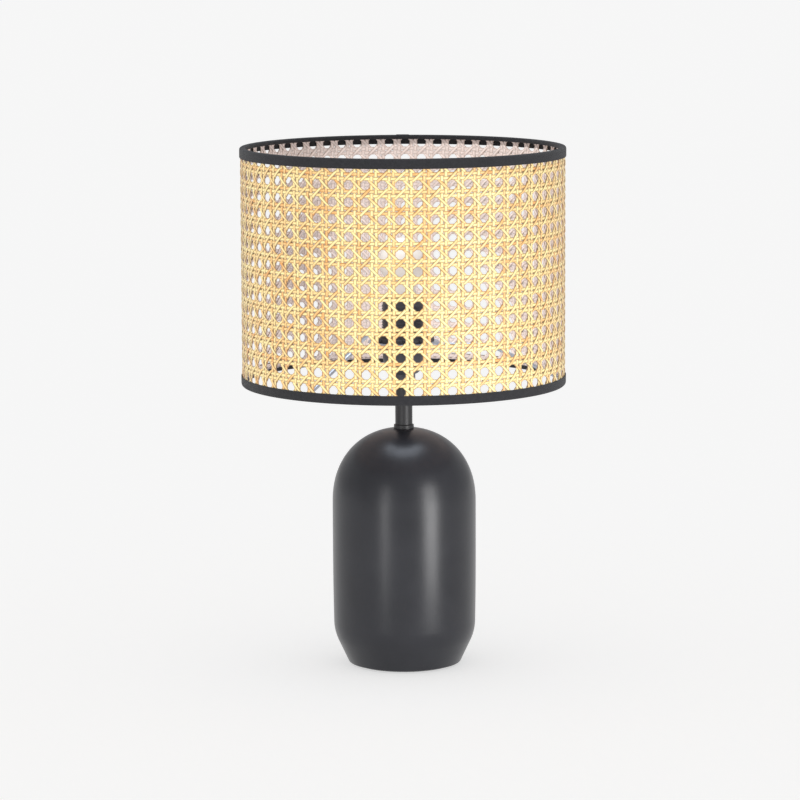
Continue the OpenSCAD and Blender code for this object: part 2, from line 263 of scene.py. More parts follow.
def arc(cx, cz, radius, start, end, steps):
    """Points on a circle arc in the (radius, height) plane, from one angle in degrees to another."""
    angles = [math.radians(start + (end - start) * i / steps) for i in range(steps + 1)]
    return [(cx + radius * math.cos(a), cz + radius * math.sin(a)) for a in angles]


def piece(name, mesh, finish, body, replaced=(), crease=35):
    """Make a finished object of a bmesh, which rides on a body and may stand for CAD nodes."""
    data = bpy.data.meshes.new(name)
    mesh.to_mesh(data)
    mesh.free()
    data.materials.append(finish.material)
    data.shade_smooth()
    data.set_sharp_from_angle(angle=math.radians(crease))
    made = bpy.data.objects.new(name, data)
    bpy.context.scene.collection.objects.link(made)
    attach(made, body)
    if replaced:
        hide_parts(*replaced)
    return made


pad_r = 47.0
pad_t = 1.5
pad_edge = 0.4
felt = Finish("black_felt", Roughness=0.95, Sheen_Weight=0.4, Sheen_Roughness=0.6)
fibres = felt.noise(felt.place(), 900.0, 6.0, 0.7)
felt.feed("Base Color", felt.ramp(fibres, (0.3, (0.006, 0.006, 0.007)), (0.75, (0.03, 0.03, 0.032))))
felt.relief(fibres, 0.0006)
pad_outline = [(0, 0), (pad_r - pad_edge, 0), (pad_r, pad_edge), (pad_r, pad_t), (0, pad_t)]
piece("felt_foot", turned(pad_outline, closed=False), felt, "stand", ["foot_pad"])

# Base ----------------------------------------------------------------------------------------
# Turned hardwood in satin black lacquer: a full dome, a nearly straight side and a chamfer down
# to a small foot, hollowed underneath and drilled for the rod and, low at the back, the cord.
base_r = 66.8
dome_z = 152.7
dome_h = 69.5
dome_fullness = 2.19
belly_in = 0.7
belly_top_z = 110.0
turn_z = 40.0
foot_slope = 25.2
foot_turn_r = 44.0
foot_edge_r = 2.0
seat_r = 11.0
recess_r = 27.0
recess_top = 26.0
rod_hole_r = 5.3
recess_edge = 0.6
side_steps = 8
dome_steps = 48
belly_lean = math.degrees(math.atan(2 * belly_in / (belly_top_z - turn_z)))
lean = math.radians(belly_lean)
slope = math.radians(foot_slope)
chamfer_z = turn_z - foot_turn_r * (math.sin(slope) - math.sin(lean))
chamfer_r = base_r - belly_in - foot_turn_r * (math.cos(lean) - math.cos(slope))
foot_r = chamfer_r - (chamfer_z - pad_t) * math.tan(slope)
edge_in = foot_edge_r * math.tan((math.pi / 2 - slope) / 2)
seat_angle = math.acos((seat_r / base_r) ** (dome_fullness / 2))
seat_z = dome_z + dome_h * math.sin(seat_angle) ** (2 / dome_fullness)

base_outline = [(rod_hole_r, recess_top), (recess_r - recess_edge, recess_top)]
base_outline += [(recess_r, recess_top - recess_edge), (recess_r, pad_t)]
base_outline += arc(foot_r - edge_in, pad_t + foot_edge_r, foot_edge_r, -90, -foot_slope, 6)
turn_cx = base_r - belly_in - foot_turn_r * math.cos(lean)
turn_cz = turn_z + foot_turn_r * math.sin(lean)
base_outline += arc(turn_cx, turn_cz, foot_turn_r, -foot_slope, -belly_lean, 14)
for step in range(1, side_steps + 1):
    draw = 1 - step / side_steps
    base_outline.append((base_r - belly_in * draw * draw, belly_top_z - (belly_top_z - turn_z) * draw))
for step in range(dome_steps + 1):
    angle = seat_angle * step / dome_steps
    across = base_r * math.cos(angle) ** (2 / dome_fullness)
    base_outline.append((across, dome_z + dome_h * math.sin(angle) ** (2 / dome_fullness)))
base_outline.append((rod_hole_r, seat_z))


def rod_cutter(radius, start, length, height):
    """A plain round bar along +Y, which cuts a hole."""
    mesh = bmesh.new()
    bmesh.ops.create_cone(mesh, cap_ends=True, segments=48, radius1=radius * MM, radius2=radius * MM,
                          depth=length * MM)
    bmesh.ops.rotate(mesh, verts=mesh.verts[:], cent=(0, 0, 0), matrix=Matrix.Rotation(-math.pi / 2, 3, "X"))
    bmesh.ops.translate(mesh, verts=mesh.verts[:], vec=(0, (start + length / 2) * MM, height * MM))
    return mesh


def cut(made, cutter):
    """Take a cutter's shape away from a piece, for good."""
    data = bpy.data.meshes.new("cutter")
    cutter.to_mesh(data)
    cutter.free()
    tool = bpy.data.objects.new("cutter", data)
    bpy.context.scene.collection.objects.link(tool)
    boolean = made.modifiers.new("cut", "BOOLEAN")
    boolean.operation = "DIFFERENCE"
    boolean.solver = "EXACT"
    boolean.object = tool
    result = bpy.data.meshes.new_from_object(made.evaluated_get(bpy.context.evaluated_depsgraph_get()))
    made.modifiers.clear()
    old = made.data
    made.data = result
    result.name = made.name
    bpy.data.meshes.remove(old)
    bpy.data.objects.remove(tool)


lacquer = Finish("satin_black_lacquer", IOR=1.44)
wood_place = lacquer.place()
pores = lacquer.noise(lacquer.stretched(wood_place, (1.0, 1.0, 0.06)), 900.0, 4.0, 0.6)
orange_peel = lacquer.noise(wood_place, 260.0, 2.0)
haze = lacquer.noise(wood_place, 18.0, 4.0, 0.6)
lacquer.feed("Base Color", lacquer.ramp(haze, (0.3, (0.012, 0.0125, 0.016)), (0.7, (0.018, 0.0185, 0.023))))
lacquer.feed("Roughness", 0.25 + haze * 0.08 + pores * 0.04)
lacquer.relief(pores * 0.5 + orange_peel * 0.5, 0.00006)
inlet_z = 15.0
inlet_seat_y = 56.3
inlet_hole_r = 4.5
spot_face_r = 6.8
past_the_wood = 20.0
base = piece("turned_base", turned(base_outline, 192), lacquer, "stand", ["base_body"])
cut(base, rod_cutter(spot_face_r, inlet_seat_y, past_the_wood, inlet_z))
cut(base, rod_cutter(inlet_hole_r, recess_r - 2, 2 * past_the_wood, inlet_z))


def metal(name, dull, bright, roughness):
    """Plated or solid metal with faint smears and fine scratches."""
    made = Finish(name, Metallic=1.0)
    spot = made.place()
    smear = made.noise(spot, 160.0, 4.0, 0.6)
    fine = made.noise(made.stretched(spot, (1.0, 1.0, 9.0)), 700.0, 3.0)
    made.feed("Base Color", made.ramp(smear, (0.3, dull), (0.7, bright)))
    made.feed("Roughness", roughness + smear * 0.12 + fine * 0.08)
    made.relief(fine, 0.00002)
    return made


def dress(finish, *names):
    """Give CAD nodes a finish."""
    for name in names:
        for slot in nodes[name].material_slots:
            slot.material = finish.material


zinc = metal("zinc_plate", (0.42, 0.43, 0.45), (0.62, 0.63, 0.66), 0.28)
dress(zinc, "rod_washer", "lock_washer", "rod_nut", "threaded_rod", "cap_lock_screw")

# Cord inlet ----------------------------------------------------------------------------------
# A moulded black bush pushed into the spot-faced hole at the back, which keeps the wood's edge
# off the cord.


def plastic(name, dark, light, roughness, relief=0.00004):
    """Moulded plastic with a fine even spark-eroded skin."""
    made = Finish(name, IOR=1.5)
    spot = made.place()
    skin = made.noise(spot, 2200.0, 2.0)
    cloud = made.noise(spot, 60.0, 3.0)
    made.feed("Base Color", made.ramp(cloud, (0.35, dark), (0.65, light)))
    made.feed("Roughness", roughness + skin * 0.08 + cloud * 0.06)
    made.relief(skin, relief)
    return made


black_plastic = plastic("black_moulding", (0.030, 0.031, 0.037), (0.042, 0.043, 0.052), 0.34)
grommet_bore_r = 3.3
grommet_lip_r = 6.3
grommet_length = 14.0
lead_in = 0.5
under_edge = 0.4
mouth_edge = 0.6
lip_side_z = grommet_length + 1.0
grommet_face = lip_side_z + mouth_edge
grommet_outline = [(grommet_bore_r, lead_in), (grommet_bore_r + lead_in, 0), (inlet_hole_r, 0)]
grommet_outline += [(inlet_hole_r, grommet_length), (grommet_lip_r - under_edge, grommet_length)]
grommet_outline += [(grommet_lip_r, grommet_length + under_edge), (grommet_lip_r, lip_side_z)]
grommet_outline += arc(grommet_lip_r - mouth_edge, lip_side_z, mouth_edge, 0, 90, 4)
grommet_outline += [(grommet_bore_r + mouth_edge, grommet_face), (grommet_bore_r, lip_side_z)]
grommet = turned(grommet_outline, 48)
face_back = Matrix.Rotation(-math.pi / 2, 3, "X")
inlet_place = (0, (inlet_seat_y - grommet_length) * MM, inlet_z * MM)
bmesh.ops.rotate(grommet, verts=grommet.verts[:], cent=(0, 0, 0), matrix=face_back)
bmesh.ops.translate(grommet, verts=grommet.verts[:], vec=inlet_place)
piece("inlet_bush", grommet, black_plastic, "stand", ["cord_grommet"])

# Collar and stem -----------------------------------------------------------------------------
# A thin turned steel collar seats on the dome, and a 16 mm steel tube stands on it round the
# rod. Both are powder coated in matt black.
collar_r = 9.3
collar_t = 3.8
collar_edge = 0.6
collar_foot_edge = 0.2
tube_edge = 0.3
stem_r = 8.0
stem_wall = 1.2
holder_z = 265.0
stem_bottom = seat_z + collar_t
coat = Finish("black_powder_coat", IOR=1.5)
coat_place = coat.place()
coat_grit = coat.noise(coat_place, 1400.0, 3.0)
coat_cloud = coat.noise(coat_place, 45.0, 3.0)
coat.feed("Base Color", coat.ramp(coat_cloud, (0.3, (0.011, 0.011, 0.013)), (0.7, (0.017, 0.017, 0.019))))
coat.feed("Roughness", 0.34 + coat_grit * 0.12 + coat_cloud * 0.06)
coat.relief(coat_grit, 0.00005)
collar_outline = [(rod_hole_r, seat_z), (collar_r - collar_foot_edge, seat_z)]
collar_outline += [(collar_r, seat_z + collar_foot_edge)]
collar_outline += arc(collar_r - collar_edge, stem_bottom - collar_edge, collar_edge, 0, 90, 6)
collar_outline += [(rod_hole_r, stem_bottom)]
piece("collar", turned(collar_outline), coat, "stand", ["stem_collar"])
tube_in = stem_r - stem_wall
tube_outline = [(tube_in, stem_bottom), (stem_r - tube_edge, stem_bottom), (stem_r, stem_bottom + tube_edge)]
tube_outline += [(stem_r, holder_z - tube_edge), (stem_r - tube_edge, holder_z), (tube_in, holder_z)]
piece("stem", turned(tube_outline), coat, "stand", ["stem_tube"])

# Lampholder ----------------------------------------------------------------------------------
# A black thermoplastic holder: a domed cap with a brass bush on the rod, and a skirt with a
# flange for the shade and a 40 mm thread for the shade ring. Inside are the core and contacts.
cap_top = 299.0
neck_r = 10.8
dome_r = 19.3
neck_h = 8.0
cap_straight_h = 8.0
dome_low = holder_z + neck_h
dome_rise = cap_top - cap_straight_h - dome_low
skirt_bore_r = 17.6
cap_wall = 2.2
bush_r = 7.4
neck_edge = 0.6
cap_rim_edge = 0.3
spigot_z = cap_top - 6.0
cap_floor_z = holder_z + 12.0
cap_steps = 16


def cap_side(inset):
    """The cap's dome, from its neck out to the skirt's width."""
    turns = [math.radians(90 * step / cap_steps) for step in range(cap_steps + 1)]
    return [(neck_r - inset + (dome_r - neck_r) * math.sin(turn), dome_low + dome_rise * (1 - math.cos(turn)))
            for turn in turns]


cap_outline = [(bush_r, holder_z), (neck_r - neck_edge, holder_z), (neck_r, holder_z + neck_edge)]
cap_outline += cap_side(0) + [(dome_r, cap_top - cap_rim_edge), (dome_r - cap_rim_edge, cap_top)]
cap_outline += [(skirt_bore_r, cap_top), (skirt_bore_r, spigot_z)]
inner_side = [(r, z) for r, z in reversed(cap_side(cap_wall)) if cap_floor_z < z < spigot_z]
cap_outline += [(inner_side[0][0], spigot_z)] + inner_side
cap_outline += [(inner_side[-1][0], cap_floor_z), (bush_r, cap_floor_z)]
cap = piece("holder_dome", turned(cap_outline), black_plastic, "stand", ["holder_cap"])
lock_hole_r = 1.5
lock_hole_start = 6.0
lock_hole_length = 12.0
lock_z = holder_z + 5
cut(cap, rod_cutter(lock_hole_r, lock_hole_start, lock_hole_length, lock_z))

skirt_root_r = 19.3
skirt_crest_r = 20.0
skirt_top = 345.0
flange_r = 23.5
flange_low = cap_top
flange_top = 302.0
flange_chamfer = 0.8
fine_edge = 0.4
lip_r = 14.7
lip_low = skirt_top - 2
core_low = 303.0
spigot_r = skirt_bore_r - 0.05
spigot_bore_r = skirt_bore_r - 1.6
skirt_edge = 1.0
skirt_pitch = 2.5
skirt_turns = 13
skirt_outline = [(spigot_bore_r, spigot_z), (spigot_r, spigot_z), (spigot_r, flange_low)]
skirt_outline += [(flange_r - flange_chamfer, flange_low), (flange_r, flange_low + flange_chamfer)]
skirt_outline += [(flange_r, flange_top - fine_edge), (flange_r - fine_edge, flange_top)]
skirt_outline += [(skirt_root_r, flange_top), (skirt_root_r, skirt_top - skirt_edge)]
skirt_outline += arc(skirt_root_r - skirt_edge, skirt_top - skirt_edge, skirt_edge, 0, 90, 5)
skirt_outline += [(lip_r + fine_edge, skirt_top), (lip_r, skirt_top - fine_edge)]
skirt_outline += [(lip_r, lip_low), (skirt_bore_r, lip_low)]
skirt_outline += [(skirt_bore_r, core_low), (spigot_bore_r, core_low)]
skirt = turned(skirt_outline)
# The thread is one ridge wound round the skirt, its foot a little inside the wall
thread_steps = 96
ridge_root_r = skirt_root_r - 0.1
ridge_foot = 0.95
ridge_flat = 0.3
ridge = [(ridge_root_r, -ridge_foot), (skirt_crest_r, -ridge_flat)]
ridge += [(skirt_crest_r, ridge_flat), (ridge_root_r, ridge_foot)]
thread_low = flange_top + 3.0
corners = [skirt.verts.new((r * MM, 0, (thread_low + z) * MM)) for r, z in ridge]
start_face = skirt.faces.new(corners)
bmesh.ops.spin(skirt, geom=[start_face], cent=(0, 0, 0), axis=(0, 0, 1), angle=math.tau * skirt_turns,
               steps=thread_steps * skirt_turns, dvec=(0, 0, skirt_pitch * MM / thread_steps),
               use_merge=False, use_duplicate=False)
bmesh.ops.recalc_face_normals(skirt, faces=skirt.faces[:])
piece("holder_skirt_threaded", skirt, black_plastic, "stand", ["holder_skirt"])

brass = metal("brass", (0.60, 0.44, 0.16), (0.80, 0.62, 0.28), 0.26)
dress(brass, "cap_bush", "screw_shell", "contact_straps", "terminal_clamps", "centre_contact")
dress(zinc, "terminal_screws")
ceramic = plastic("white_insulator", (0.70, 0.68, 0.62), (0.80, 0.78, 0.73), 0.30)
dress(ceramic, "holder_core")

# Bulb ----------------------------------------------------------------------------------------
# A small LED bulb with an opal glass globe. Its glass flows into a neck that is cemented into a
# nickel-plated E27 cap; the filaments and the driver sit inside.
globe_r = 22.5
globe_z = 377.5
glass_neck_r = 12.3
neck_low = 343.0
neck_fillet = 10.0
glass_t = 1.0
fillet_x = glass_neck_r + neck_fillet
fillet_z = globe_z - math.sqrt((globe_r + neck_fillet) ** 2 - fillet_x ** 2)
meet = math.degrees(math.atan2(fillet_z - globe_z, fillet_x))
opal = Finish("opal_glass", IOR=1.5, Roughness=0.22)
milk = opal.noise(opal.place(), 40.0, 3.0)
opal.feed("Base Color", opal.ramp(milk, (0.3, (0.82, 0.78, 0.73)), (0.7, (0.87, 0.84, 0.79))))
opal.feed("Coat Weight", 0.55 + milk * 0.2)


def glass_side(inset):
    """The bulb's side from its neck to the top, moved inwards by a wall."""
    fillet = arc(fillet_x, fillet_z, neck_fillet + inset, 180, 180 + meet, 10)
    return [(glass_neck_r - inset, neck_low)] + fillet + arc(0, globe_z, globe_r - inset, meet, 90, 40)[1:]


bulb_outline = glass_side(0) + glass_side(glass_t)[::-1]
piece("opal_globe", turned(bulb_outline, 96), opal, "bulb", ["bulb_globe"])
nickel = metal("nickel_plate", (0.55, 0.54, 0.52), (0.72, 0.71, 0.68), 0.20)
solder = metal("solder", (0.48, 0.48, 0.48), (0.66, 0.66, 0.66), 0.34)
dress(nickel, "bulb_cap")
dress(solder, "bulb_tip")
black_glass = plastic("black_vitrite", (0.008, 0.008, 0.009), (0.014, 0.014, 0.016), 0.10, 0.00001)
dress(black_glass, "bulb_insulator")
clear_glass = Finish("clear_glass", IOR=1.5, Transmission_Weight=1.0)
seed = clear_glass.noise(clear_glass.place(), 300.0, 2.0)
clear_glass.feed("Roughness", 0.02 + seed * 0.04)
clear_glass.feed("Base Color", clear_glass.ramp(seed, (0.3, (0.94, 0.96, 0.95)), (0.7, (0.98, 0.99, 0.98))))
dress(clear_glass, "bulb_stem")
phosphor = plastic("yellow_phosphor", (0.78, 0.56, 0.10), (0.86, 0.66, 0.18), 0.45)
dress(phosphor, "led_filaments")
board = plastic("green_board", (0.02, 0.14, 0.06), (0.03, 0.20, 0.09), 0.40)
dress(board, "driver_board")

# Fitter and hoops ----------------------------------------------------------------------------
# A pressed steel ring drops over the skirt, with three wire arms welded on. They run out level,
# bend down to the bottom hoop, and a second hoop rounds the top. All of it is zinc plated.
fitter_r = 33.0
fitter_t = 1.5
fitter_bore_r = 20.6
fitter_z = flange_top
fitter_zinc = metal("blue_zinc_plate", (0.44, 0.48, 0.55), (0.60, 0.64, 0.70), 0.36)
round_edge = 0.4
plate = [(fitter_bore_r, fitter_z + round_edge), (fitter_bore_r + round_edge, fitter_z)]
plate += arc(fitter_r - round_edge, fitter_z + round_edge, round_edge, -90, 0, 4)
plate_top = fitter_z + fitter_t
plate += arc(fitter_r - round_edge, plate_top - round_edge, round_edge, 0, 90, 4)
plate += [(fitter_bore_r + round_edge, plate_top), (fitter_bore_r, plate_top - round_edge)]
piece("fitter_plate", turned(plate), fitter_zinc, "shade", ["fitter_ring"])

shade_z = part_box("bottom_trim")[0][2] / MM
shade_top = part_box("top_trim")[1][2] / MM
tape_t = 0.6
wire_r = 1.6
arm_r = 1.8
hoop_r = 147.1
hoop_gap = 0.1
hoop_sides = 24
hoop_low_z = shade_z + tape_t + wire_r + hoop_gap
hoop_high_z = shade_top - tape_t - wire_r - hoop_gap
weld_sink = 0.3
arm_z = flange_top - arm_r + weld_sink
arm_start_r = 25.6
arm_bend_r = 80.0
arm_end_z = hoop_low_z + wire_r + 1.4
arm_fall = math.atan2(arm_z - arm_end_z, hoop_r - arm_bend_r)
arm_length = math.hypot(arm_z - arm_end_z, hoop_r - arm_bend_r)
turn_r = 8.0
turn_back = turn_r * math.tan(arm_fall / 2)
arms = bmesh.new()
section = bmesh.ops.create_circle(arms, cap_ends=True, radius=arm_r * MM, segments=16)["verts"]
bmesh.ops.rotate(arms, verts=section, cent=(0, 0, 0), matrix=Matrix.Rotation(math.pi / 2, 3, "Y"))
bmesh.ops.translate(arms, verts=section, vec=(arm_start_r * MM, 0, arm_z * MM))


def drawn(mesh, face, move):
    """Draw a wire's end face on by a move, and return the new end face."""
    grown = bmesh.ops.extrude_discrete_faces(mesh, faces=[face])["faces"][0]
    bmesh.ops.translate(mesh, verts=grown.verts[:], vec=move)
    return grown


end = drawn(arms, arms.faces[:][0], ((arm_bend_r - turn_back - arm_start_r) * MM, 0, 0))
pivot = ((arm_bend_r - turn_back) * MM, 0, (arm_z - turn_r) * MM)
bent = bmesh.ops.spin(arms, geom=[end], cent=pivot, axis=(0, 1, 0), angle=arm_fall, steps=8, dvec=(0, 0, 0),
                      use_merge=False, use_duplicate=False)
end = [part for part in bent["geom_last"] if isinstance(part, bmesh.types.BMFace)][0]
reach = arm_length - turn_back
end = drawn(arms, end, (reach * math.cos(arm_fall) * MM, 0, -reach * math.sin(arm_fall) * MM))
bmesh.ops.remove_doubles(arms, verts=arms.verts[:], dist=1e-7)
inner = [face for face in arms.faces if len(face.verts) > 4 and face is not end]
bmesh.ops.delete(arms, geom=inner, context="FACES_ONLY")
open_edges = [edge for edge in arms.edges if len(edge.link_faces) == 1]
bmesh.ops.holes_fill(arms, edges=open_edges, sides=0)
first_arm = math.radians(-126)
bmesh.ops.rotate(arms, verts=arms.verts[:], cent=(0, 0, 0), matrix=Matrix.Rotation(first_arm, 3, "Z"))
bmesh.ops.spin(arms, geom=arms.verts[:] + arms.edges[:] + arms.faces[:], cent=(0, 0, 0), axis=(0, 0, 1),
               angle=math.tau * 2 / 3, steps=2, dvec=(0, 0, 0), use_merge=False, use_duplicate=True)
bmesh.ops.recalc_face_normals(arms, faces=arms.faces[:])
piece("fitter_wires", arms, fitter_zinc, "shade", ["fitter_arms"])
hoops = (("lower_hoop", "bottom_wire_ring", hoop_low_z), ("upper_hoop", "top_wire_ring", hoop_high_z))
for name, node, height in hoops:
    wire = arc(hoop_r, height, wire_r, 0, 360 - 360 / hoop_sides, hoop_sides - 1)
    piece(name, turned(wire, 256), fitter_zinc, "shade", [node])

# Shade ring ----------------------------------------------------------------------------------
# A moulded black ring nut screws down the skirt and clamps the fitter on the flange. Notches
# round its rim give the fingers a grip.
ring_z = flange_top + fitter_t
ring_h = 8.0
ring_r = 28.5
ring_flange_h = 3.6
ring_body_r = 24.5
ring_bore_r = 20.08
ring_foot_edge = 0.5
ring_edge = 0.8
ring_flange_z = ring_z + ring_flange_h
ring_top = ring_z + ring_h
ring_outline = [(ring_bore_r, ring_z + fine_edge), (ring_bore_r + fine_edge, ring_z)]
ring_outline += [(ring_r - ring_foot_edge, ring_z), (ring_r, ring_z + ring_foot_edge)]
ring_outline += arc(ring_r - ring_edge, ring_flange_z - ring_edge, ring_edge, 0, 90, 4)
ring_outline += [(ring_body_r + fine_edge, ring_flange_z), (ring_body_r, ring_flange_z + fine_edge)]
ring_outline += arc(ring_body_r - ring_edge, ring_top - ring_edge, ring_edge, 0, 90, 4)
ring_outline += [(ring_bore_r + fine_edge, ring_top), (ring_bore_r, ring_top - fine_edge)]
ring_mesh = turned(ring_outline, 144)
nut = piece("shade_ring_nut", ring_mesh, black_plastic, "ring", ["shade_ring"])
notch_count = 24
notch_r = 1.3
notch_length = 10
notches = bmesh.new()
notch = bmesh.ops.create_cone(notches, cap_ends=True, segments=20, radius1=notch_r * MM, radius2=notch_r * MM,
                              depth=notch_length * MM)
bmesh.ops.translate(notches, verts=notch["verts"], vec=(ring_r * MM, 0, (ring_z + 1) * MM))
bmesh.ops.spin(notches, geom=notches.verts[:] + notches.edges[:] + notches.faces[:], cent=(0, 0, 0),
               axis=(0, 0, 1), angle=math.tau * (notch_count - 1) / notch_count, steps=notch_count - 1,
               dvec=(0, 0, 0), use_merge=False, use_duplicate=True)
cut(nut, notches)

# Cane webbing --------------------------------------------------------------------------------
# Strands of peeled rattan, glossy rind outwards, woven by machine in the octagonal pattern and
# rolled into a drum. Upright and level pairs interlace plainly; slants lock each pair in turn.
cells = 60
row = 15.383
first_row_z = 276.0
drum_r = 148.9
cell = math.tau * drum_r / cells
pattern_turn = math.radians(-1)
web_low = -0.715
web_high = 13.42
skew_rise = 0.8
strand_t = 0.7
pair_half = 0.1245
upright_w = 3.32
slant_w = 2.86
press_depth = 9.0
press_fade = 2.0
press_out = 0.45
press_flat = 0.8
rows = 14
upright_steps = 142
level_steps = 600
slant_steps = 227
upright_sway = 1.1
level_sways = 7
slant_sway = 0.9
strand_section = [(-0.5, -0.5), (0.5, -0.5), (0.5, 0.05), (0.30, 0.38), (0.0, 0.5)]
strand_section += [(-0.30, 0.38), (-0.5, 0.05)]
chance = random.Random(5)


def plain_wave(gap):
    """Lift of an upright or level strand at a place along it, in strand thicknesses."""
    off = gap - math.floor(gap) - 0.5
    return 0.5 * math.sin(math.pi * off / (2 * pair_half)) * math.cos(math.pi * off) ** 2


def slant_wave(gap):
    """Lift of a slanting strand, which stays high or low over most of each half wave."""
    return math.tanh(2 * math.cos(math.tau * (gap - 0.5))) / math.tanh(2)


def flat_strands(steps, length, width, count, spacing):
    """Straight strands side by side along Y, each a domed section drawn out step by step."""
    mesh = bmesh.new()
    corners = [mesh.verts.new((x * width, 0, z)) for x, z in strand_section]
    edges = [mesh.edges.new(pair) for pair in zip(corners, corners[1:] + corners[:1])]
    bmesh.ops.spin(mesh, geom=corners + edges, cent=(0, 0, 0), axis=(0, 0, 1), angle=0.0, steps=steps,
                   dvec=(0, length / steps, 0), use_merge=False, use_duplicate=False)
    bmesh.ops.spin(mesh, geom=mesh.verts[:] + mesh.edges[:] + mesh.faces[:], cent=(0, 0, 0), axis=(0, 0, 1),
                   angle=0.0, steps=count - 1, dvec=(spacing, 0, 0), use_merge=False, use_duplicate=True)
    return mesh


def strand_lives(count):
    """A small sideways drift, width and tint of its own for each strand."""
    return [(chance.uniform(-0.012, 0.012), chance.uniform(0.93, 1.06), chance.random(),
             chance.uniform(0, math.tau)) for _ in range(count)]


def rolled(mesh, place):
    """Roll flat strands round the drum and record each point's place on its strand."""
    grain = mesh.verts.layers.float_vector.new("grain")
    rind = mesh.verts.layers.float.new("rind")
    for vert in mesh.verts:
        u, v, lift, across, along, tint = place(vert.co.x, vert.co.y)
        angle = math.tau * u / cells + pattern_turn
        z = first_row_z + v * row + skew_rise * (1 - math.cos(angle)) / 2
        inside = min(z - (shade_z + press_depth), shade_top - press_depth - z)
        pressed = min(max(-inside / press_fade, 0.0), 1.0)
        r = drum_r + press_out * pressed + strand_t * (lift * (1 - press_flat * pressed) + vert.co.z)
        vert[grain] = (across, along, tint)
        vert[rind] = 0.0 if vert.co.z < -0.4 else 1.0
        vert.co = (r * math.sin(angle) * MM, -r * math.cos(angle) * MM, z * MM)
    bmesh.ops.remove_doubles(mesh, verts=mesh.verts[:], dist=1e-6)
    open_ends = [edge for edge in mesh.edges if len(edge.link_faces) == 1]
    bmesh.ops.holes_fill(mesh, edges=open_ends, sides=0)
    bmesh.ops.recalc_face_normals(mesh, faces=mesh.faces[:])
    return mesh


web_span = web_high - web_low


def uprights(side):
    """The left or right strand of every upright pair."""
    lives = strand_lives(cells)

    def place(x, y):
        strand = int(math.floor(x + 0.5))
        drift, wide, tint, phase = lives[strand]
        v = web_low + y
        sway = drift * math.sin(v * upright_sway + phase)
        across = (x - strand) * wide
        u = strand + 0.5 + side * pair_half + across + sway
        return u, v, side * plain_wave(v), across / (upright_w / cell), v, tint

    return rolled(flat_strands(upright_steps, web_span, upright_w / cell, cells, 1.0), place)


def levels(side):
    """The lower or upper strand of every level pair."""
    lives = strand_lives(rows)

    def place(x, y):
        strand = int(math.floor(x + 0.5))
        drift, wide, tint, phase = lives[strand]
        sway = drift * math.sin(math.tau * y * level_sways / cells + phase)
        across = (x - strand) * wide
        v = strand - 0.5 + side * pair_half + across + sway
        return y, v, -side * plain_wave(y), across / (upright_w / row), y, tint

    return rolled(flat_strands(level_steps, float(cells), upright_w / row, rows, 1.0), place)


def slants(way):
    """The slanting strands that rise, way +1, or fall, way -1."""
    lives = strand_lives(cells)
    wide_on_slope = slant_w * math.sqrt(2) / cell

    def place(x, y):
        strand = int(math.floor(x + 0.5))
        drift, wide, tint, phase = lives[strand]
        v = web_low + y
        centre = strand + 0.5 + way * v
        across = (x - strand) * wide
        u = centre + across + drift * math.sin(v * slant_sway + phase)
        return u, v, -way * slant_wave(centre), across / wide_on_slope, v * math.sqrt(2), tint

    return rolled(flat_strands(slant_steps, web_span, wide_on_slope, cells, 1.0), place)


cane = Finish("peeled_cane", IOR=1.5, Coat_Roughness=0.25)
grain = cane.node("Attribute", {"attribute_name": "grain"}, output="Vector")
rind = cane.node("Attribute", {"attribute_name": "rind"}, output="Fac")
across, along, tint = cane.parts(grain)
fibre_place = cane.node("CombineXYZ", inputs={"X": across * 9 + tint * 57, "Y": along * 0.9, "Z": tint * 31})
fibre = cane.noise(fibre_place, 2.2, 5.0, 0.65)
patch_place = cane.node("CombineXYZ", inputs={"X": across * 0.6, "Y": along * 0.8, "Z": tint * 83})
patches = cane.noise(patch_place, 1.3, 3.0, 0.6)
# Strands darken to brown towards their edges. This is partly the cane's own browner edges and partly painted
# shade, standing for the contact shadow in the gaps between strands.
edge = (across.size() * 2) ** 1.9
rind_colour = cane.ramp(patches * 0.55 + fibre * 0.25 + tint * 0.2,
                        (0.33, (0.80, 0.38, 0.12)), (0.44, (0.93, 0.64, 0.28)), (0.58, (0.99, 0.82, 0.39)))
pith_colour = cane.ramp(fibre, (0.3, (0.90, 0.73, 0.66)), (0.7, (0.97, 0.89, 0.86)))
body_colour = cane.blend(rind, pith_colour, rind_colour)
# The blend towards dark brown lays that painted edge shade over each strand's sides, more strongly on the
# rind.
cane.feed("Base Color", cane.blend(edge * (0.42 + rind * 0.50), body_colour, (0.13, 0.052, 0.012)))
cane.feed("Roughness", 0.62 - rind * 0.24 + fibre * 0.12)
cane.feed("Coat Weight", rind * 0.25)
cane.relief(fibre, 0.00012)
strands = (("cane_upright_left", uprights(-1)), ("cane_upright_right", uprights(1)),
           ("cane_level_lower", levels(-1)), ("cane_level_upper", levels(1)),
           ("cane_slant_falling", slants(-1)), ("cane_slant_rising", slants(1)))
for number, (name, mesh) in enumerate(strands):
    piece(name, mesh, cane, "shade", ["cane_webbing"] if number == 0 else (), crease=50)

